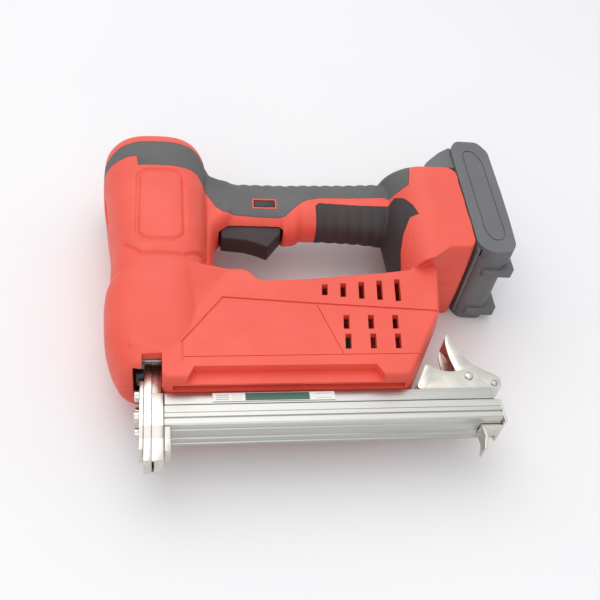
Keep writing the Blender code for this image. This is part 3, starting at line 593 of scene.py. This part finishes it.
def shellWork():
    work = twin(solid, "shellWork")
    work = scored(work, stroke(grooves["panel"], grooves["width"]), shallow)
    for line in grooves["lines"]:
        work = scored(work, stroke(line, grooves["faintWidth"]), shallow)
    return work


body = shellWork()
for outline in (upperGripOutline, lowerGripOutline):
    pocket = carve(slab("pocket", grown(outline, pocketGap), *zone), twin(bed))
    body = carve(body, pocket)
cuts = {
    "bulkhead": ((88, 130), (-20, 140), past),
    "belt": [(-99.5, -100), (-91, -74.4), (31.5, -74.4), (40, -100)],  # solid wall behind the side step
    "beltDepth": 15.4,
    "step": [(-96, -100), (-87, -82.5), (27, -82.5), (36, -100)],
    "stepDepth": 20,
    # x, y and z of each room
    "trigger": ((-65.5, -17.5), (30, 63), (29.2, 45.8)),
    "noseClear": ((-124.0, -106.3), (-160, -72), (mid - 19.5, mid + 19.5)),
    "noseNotch": ((-118.6, -106.3), (-160, -72), past),
    "bellyLeft": ((-100, 46), (-100, -87), (mid + 13.6, mid + 18.6)),
    "bellyRight": ((-100, 46), (-100, -87), (mid - 18.6, mid - 13.6)),
    "terminals": ((86, 98), (45, 75), (mid - 14, mid + 14)),
    # across, along and z in the battery's leaning frame
    "headRoom": ((-20.3, -8.4), (-41.8, 90), (mid - 25.8, mid + 25.8)),
    "neckRoom": ((-10.7, 8), (-41.8, 90), (mid - 21.3, mid + 21.3)),
    "wedgeRoom": ((-25, 12), (30.5, 90), past),
}
beltDepth = cuts["beltDepth"]
stepDepth = cuts["stepDepth"]
cavity = carve(hollow, block("bulkhead", *cuts["bulkhead"]),
               slab("keepLeft", cuts["belt"], mid + beltDepth, zone[1]),
               slab("keepRight", cuts["belt"], zone[0], mid - beltDepth))
body = carve(body, cavity)
triggerSlot = block("triggerSlot", *cuts["trigger"])
windowTool = block("window", window["x"], window["y"], through)
body = carve(body, block("noseClear", *cuts["noseClear"]), block("noseNotch", *cuts["noseNotch"]),
             twin(triggerSlot), block("bellyLeft", *cuts["bellyLeft"]),
             block("bellyRight", *cuts["bellyRight"]), twin(windowTool),
             slab("stepLeft", cuts["step"], mid + stepDepth, zone[1]),
             slab("stepRight", cuts["step"], zone[0], mid - stepDepth),
             block("terminals", *cuts["terminals"]), packBlock("headRoom", *cuts["headRoom"]),
             packBlock("neckRoom", *cuts["neckRoom"]), packBlock("wedgeRoom", *cuts["wedgeRoom"]),
             *ventTools())
everywhere = (-200, 200)
for side, height in (("left", (mid + shell["seam"], zone[1])), ("right", (zone[0], mid - shell["seam"]))):
    half = keep(twin(body, side + "Shell"), block("half", everywhere, everywhere, height))
    settle(half, "tool", looks["red"], [side + "_housing"], 40)
print("shell halves ready")

corners = ((0, 0), (1, 0), (1, 1), (0, 1))
windowOuter = grown([(window["x"][i], window["y"][j]) for i, j in corners], window["rim"])
rim = keep(twin(solid, "windowRim"), slab("rimZone", windowOuter, *zone))
rim = carve(rim, twin(core), twin(windowTool))
settle(rim, "tool", looks["red"])
upper = keep(twin(solid, "upperGrip"), slab("upperZone", upperGripOutline, *zone))
upper = carve(upper, twin(core), slab("rimRoom", grown(windowOuter, 0.1), *zone), triggerSlot)
drop(windowTool)
settle(upper, "tool", looks["grip"], ["left_upper_grip", "right_upper_grip"], 40)
lower = carve(keep(twin(solid, "lowerGrip"), slab("lowerZone", lowerGripOutline, *zone)), twin(core))
settle(lower, "tool", looks["darkGrip"], ["left_lower_grip", "right_lower_grip"], 40)
drop(solid, body, bed, core, shallow)
print("grips ready")

# trigger and lock

trigger = {
    "outline": [(-64, 58), (-63.5, 45), (-47, 43), (-38, 39.8), (-30.5, 35.8), (-19.5, 51), (-19, 60),
                (-44, 60), (-50, 66), (-60, 66)],
    "half": 7.5,
}
triggerPiece = slab("triggerLever", trigger["outline"], mid - trigger["half"], mid + trigger["half"])
triggerPiece = ease(triggerPiece, 1.0, 3)
settle(triggerPiece, "trigger", looks["darkGrip"], ["trigger"])
lock = {"x": (-38.6, -23.4), "y": (69.0, 75.1), "half": 16.2}
lockBar = ease(block("lockBar", lock["x"], lock["y"], (mid - lock["half"], mid + lock["half"])), 0.5)
settle(lockBar, "lock", looks["black"], ["lock_slider"])

# magazine

settle(cadCopy("magazine_rail", 0.4, 3), "tool", looks["aluminium"], ["magazine_rail"])


def slideProfile():
    side = 13.0
    half = [(-113.2, 6.5), (-101.3, 6.5), (-101.3, side - 0.4), (-101.7, side), (-106.4, side),
            (-106.7, side - 0.5), (-107.0, side), (-109.6, side), (-110.1, side - 1.0),
            (-110.9, side - 1.0), (-111.3, side),
            (-114.2, side), (-115.1, side - 0.6), (-115.5, side - 1.7), (-115.5, 9.0), (-115.0, 8.6),
            (-115.0, 7.2), (-115.5, 6.8), (-115.5, 3.2), (-114.9, 2.6)]
    return [(y, mid + z) for y, z in half] + [(y, mid - z) for y, z in reversed(half)]


slide = slab("magazineSlide", slideProfile(), -104.9, 107.0, "X")
settle(slide, "magazine_drawer", looks["aluminium"], ["magazine_slide"], 20)
label = {
    "paper": (0.88, 0.89, 0.87),
    # x from and to, y from and to, colour
    "bands": [(-56.0, -16.0, -99.6, -94.2, (0.045, 0.13, 0.09)),
              (-74.0, -66.0, -95.8, -95.2, (0.45, 0.42, 0.48)),
              (-74.0, -66.0, -97.3, -96.7, (0.45, 0.42, 0.48)),
              (-74.0, -66.0, -98.8, -98.2, (0.45, 0.42, 0.48)),
              (-64.0, -58.0, -95.8, -95.4, (0.6, 0.58, 0.62)),
              (-64.0, -58.0, -97.3, -96.9, (0.6, 0.58, 0.62)),
              (-64.0, -58.0, -98.8, -98.4, (0.6, 0.58, 0.62)),
              (-12.0, -2.0, -95.4, -95.1, (0.25, 0.4, 0.35)),
              (-12.0, -2.0, -98.7, -98.4, (0.25, 0.4, 0.35))],
}
settle(cadCopy("magazine_label", 0.1, 1), "tool", stripedLabel(label), ["magazine_label"])
for name in ("slide_end_plate", "slide_front_catch"):
    settle(cadCopy(name, 0.35, 3), "magazine_drawer", looks["nickel"], [name])
print("magazine ready")

# nose

for name in ("nose_front_plate", "nose_guide_plate", "nose_rear_block"):
    settle(cadCopy(name, 0.3, 2), "tool", looks["nickel"], [name])
fixings = {
    "screw": {"x": -122.9, "radius": 3.6, "height": 3.0, "shank": 1.35, "length": 11.0, "socket": 1.9},
    "bolt": {"x": -122.1, "radius": 4.1, "height": 4.8, "shank": 1.35, "length": 8.5, "socket": 2.2},
    # y and the distance from the split plane
    "screws": [(-92.5, 9.4), (-92.5, -9.4), (-107.0, 9.4), (-107.0, -9.4)],
    "bolts": [(-77.0, 9.0), (-77.0, -9.0)],
}


def capScrew(name, y, z, size):
    x = size["x"]
    radius = size["radius"]
    height = size["height"]
    crown = [(0, radius - 0.6), (0.3, radius - 0.15), (0.8, radius), (height, radius)]
    head = turned(name, (x, y, mid + z), "X", crown)
    shank = [(0, size["shank"]), (size["length"], size["shank"])]
    stem = turned("stem", (x + height - 0.2, y, mid + z), "X", shank, 24)
    socket = [(0, size["socket"]), (1 + height * 0.6, size["socket"])]
    hexagon = turned("hexagon", (x - 1, y, mid + z), "X", socket, 6)
    return carve(weld(head, stem), hexagon)


for number, (y, z) in enumerate(fixings["screws"], 1):
    screw = capScrew("noseScrew" + str(number), y, z, fixings["screw"])
    settle(screw, "tool", looks["nickel"], ["nose_screw_" + str(number)])
for number, (y, z) in enumerate(fixings["bolts"], 1):
    bolt = capScrew("noseBolt" + str(number), y, z, fixings["bolt"])
    settle(bolt, "tool", looks["darkSteel"], ["nose_bolt_" + str(number)])
print("nose ready")

# rear bracket and release lever

latch = {
    "wall": [(54, -92.4), (112.5, -92.4), (112.5, -86), (104, -79), (94, -76.5), (86, -78.5), (78, -79.5),
             (70, -76.5), (65, -71.8)],
    "horn": [(86, -45), (83, -53), (83, -65), (85, -76), (86.5, -84), (92, -88), (98, -87), (104, -84.5),
             (112, -87), (115, -85), (113, -81), (104, -76), (96, -70), (92, -63), (90, -53)],
    "inside": [(70, -42), (70, -95), (97, -95), (97, -74.5), (94.2, -71), (90.3, -63.5), (88.3, -53.5),
               (84.6, -46)],
    "between": ((40, 120), (-91.2, -60), (mid - 10.6, mid + 10.6)),
    "wallHalf": 12.2,
    "hornHalf": 9.5,
    "channelHalf": 7.9,
    "pivot": (92.0, -83.0),
    "rivet": (108.0, -89.0),
}


def acrossMid(name, outline, half):
    return slab(name, outline, mid - half, mid + half)


bracket = acrossMid("rearBracket", rounded(latch["wall"], 5, 8), latch["wallHalf"])
bracket = carve(bracket, block("between", *latch["between"]))
settle(ease(bracket, 0.25), "tool", looks["nickel"], ["rear_bracket"])
horn = acrossMid("releaseLever", rounded(latch["horn"], 6, 8), latch["hornHalf"])
horn = carve(horn, acrossMid("channel", rounded(latch["inside"], 5, 8), latch["channelHalf"]))
settle(ease(horn, 0.3), "lever", looks["nickel"], ["release_lever"])


def domedPin(name, x, y, radius, head):
    bottom = mid - 12.6
    profile = [(0, radius), (25.0, radius), (25.05, head - 0.1), (25.6, head), (26.0, head - 0.5),
               (26.25, head - 1.2)]
    return turned(name, (x, y, bottom), "Z", profile, 32)


settle(domedPin("leverPin", *latch["pivot"], 1.8, 2.8), "tool", looks["nickel"], ["lever_pin"])
settle(domedPin("stopRivet", *latch["rivet"], 1.4, 2.2), "tool", looks["steel"], ["stop_rivet"])
print("latch ready")

# battery pack

packShape = {
    "slab": [(0.3, -52), (6.5, -59.5), (12, -61), (24.5, -59.5), (28.8, -53), (30.0, -28), (30.6, 2),
             (30.6, 50), (24, 61.2), (6, 61.2), (0.3, 52)],
    "body": [(0.3, -53), (5, -59.5), (21, -60), (25.5, -55), (25.5, 55), (21, 60), (5, 60), (0.3, 55)],
    "rib": [(6, -55), (8, -61.5), (30, -61.5), (31.5, -60), (31.5, -22), (29, -18), (29, 55), (24, 60.5),
            (8, 60.5)],
    "bodyHeight": (0.0, 66.0),
    "slabHeight": (61.0, 75.0),
    "ribHeights": {"ribHigh": (49.5, 56.5), "ribLow": (6.0, 13.5)},
    "room": {"u": (-5, 23.2), "v": (-56, 56), "z": (3.0, 72.0)},
    "inset": [(8, 44), (8, -40), (12, -49), (20, -49), (23.5, -42), (23.5, 38), (18, 50), (11, 50)],
}


def packCase():
    case = packSlab("packCase", rounded(packShape["body"], 4), *packShape["bodyHeight"])
    case = weld(case, ease(packSlab("top", rounded(packShape["slab"], 4), *packShape["slabHeight"]), 1.2, 4))
    for name, height in packShape["ribHeights"].items():
        case = weld(case, ease(packSlab(name, rounded(packShape["rib"], 2), *height), 0.6, 2))
    outline = rounded(packShape["inset"], 5)
    ring = carve(packSlab("ring", outline, 74.4, 80), packSlab("island", grown(outline, -1.1), 70, 82))
    room = packShape["room"]
    return carve(case, ring, packBlock("cellRoom", room["u"], room["v"], room["z"]))


settle(packCase(), "battery", looks["pack"], ["battery_case"])
settle(cadCopy("battery_cover", 0.9, 3), "battery", looks["pack"], ["battery_cover"])
settle(cadCopy("battery_button", 0.8, 3), "battery_latch", looks["black"], ["battery_button"])
print("battery ready")

# CAD nodes that keep their shape

kept = {
    "steel": ["trigger_pin", "solenoid_yoke", "yoke_plate", "plunger", "driver_blade", "return_spring",
              "trigger_spring", "lever_spring", "pusher", "pusher_rod", "pusher_spring"]
             + ["housing_screw_" + str(i) for i in range(1, 8)],
    "copper": ["solenoid_coil"],
    "black": ["coil_bobbin", "trigger_switch", "capacitor", "terminal_block"],
    "aluminium": ["nose_mount"],
    "board": ["control_board"],
    "bumper": ["bumper"],
    "cell": ["battery_cell_" + str(i) for i in range(1, 6)],
}
for finish, names in kept.items():
    for name in names:
        mesh = nodes[name].data
        mesh.materials.clear()
        mesh.materials.append(looks[finish])

# floor, light and camera

studio = {
    "floor": (0.86, 0.86, 0.87),
    "floorClouds": ((0.85, 0.85, 0.86), (0.87, 0.87, 0.875)),
    "world": 0.94,
    "skyLow": (0.35, 0.35, 0.355),
    "skyHigh": (0.97, 0.975, 0.99),
    "skyTilt": (0.0, 0.42, 0.9),
    "key": {"spot": (-0.25, 0.75, 1.5), "aim": (0.0, 0.0, 0.03), "size": 1.6, "power": 9.0},
    "fill": {"spot": (-0.3, -1.1, 0.9), "aim": (0.0, 0.0, 0.0), "size": 1.4, "power": 6.0},
}


def softLight(name, spec):
    lamp = bpy.data.lights.new(name, "AREA")
    lamp.shape = "SQUARE"
    lamp.size = spec["size"]
    lamp.energy = spec["power"]
    light = bpy.data.objects.new(name, lamp)
    bpy.context.scene.collection.objects.link(light)
    light.location = spec["spot"]
    aim = Vector(spec["aim"]) - Vector(spec["spot"])
    light.rotation_euler = aim.to_track_quat("-Z", "Y").to_euler()


bm = bmesh.new()
bmesh.ops.create_grid(bm, x_segments=8, y_segments=8, size=6.0)
floor = addThing("floor", bm)
floor.location.z = -0.0002
floorLook, parts, links, shader = newLook("floorPaper", studio["floor"], 0.8, 0.0, 0.2)
links.new(ramped(parts, links, noiseAt(parts, links, 3.0, 3.0), *studio["floorClouds"]),
          shader.inputs["Base Color"])
floor.data.materials.append(floorLook)

softLight("keyLight", studio["key"])
softLight("fillLight", studio["fill"])
world = bpy.data.worlds.new("paleRoom")
bpy.context.scene.world = world
world.use_nodes = True
parts = world.node_tree.nodes
links = world.node_tree.links
ahead = parts.new("ShaderNodeTexCoord")
tilt = parts.new("ShaderNodeVectorMath")
tilt.operation = "DOT_PRODUCT"
tilt.inputs[1].default_value = studio["skyTilt"]
links.new(ahead.outputs["Generated"], tilt.inputs[0])
sky = ramped(parts, links, tilt.outputs["Value"], studio["skyLow"], studio["skyHigh"], 0.0, 0.8)
links.new(sky, parts["Background"].inputs["Color"])
parts["Background"].inputs["Strength"].default_value = studio["world"]

view = {"spot": (-0.1079, -0.37018, 0.4689), "ahead": (0.17039, 0.63352, -0.75473),
        "right": (0.98538, -0.10791, 0.13187), "lens": 48.76}
lens = bpy.data.cameras.new("camera")
lens.lens = view["lens"]
lens.sensor_width = 36.0
lens.clip_start = 0.01
camera = bpy.data.objects.new("camera", lens)
bpy.context.scene.collection.objects.link(camera)
ahead = Vector(view["ahead"]).normalized()
right = Vector(view["right"]).normalized()
upward = right.cross(ahead)
turn = Matrix((right, upward, -ahead)).transposed().to_4x4()
camera.matrix_world = Matrix.Translation(Vector(view["spot"])) @ turn
bpy.context.scene.camera = camera
bpy.context.scene.view_settings.view_transform = "Standard"
print("scene ready")
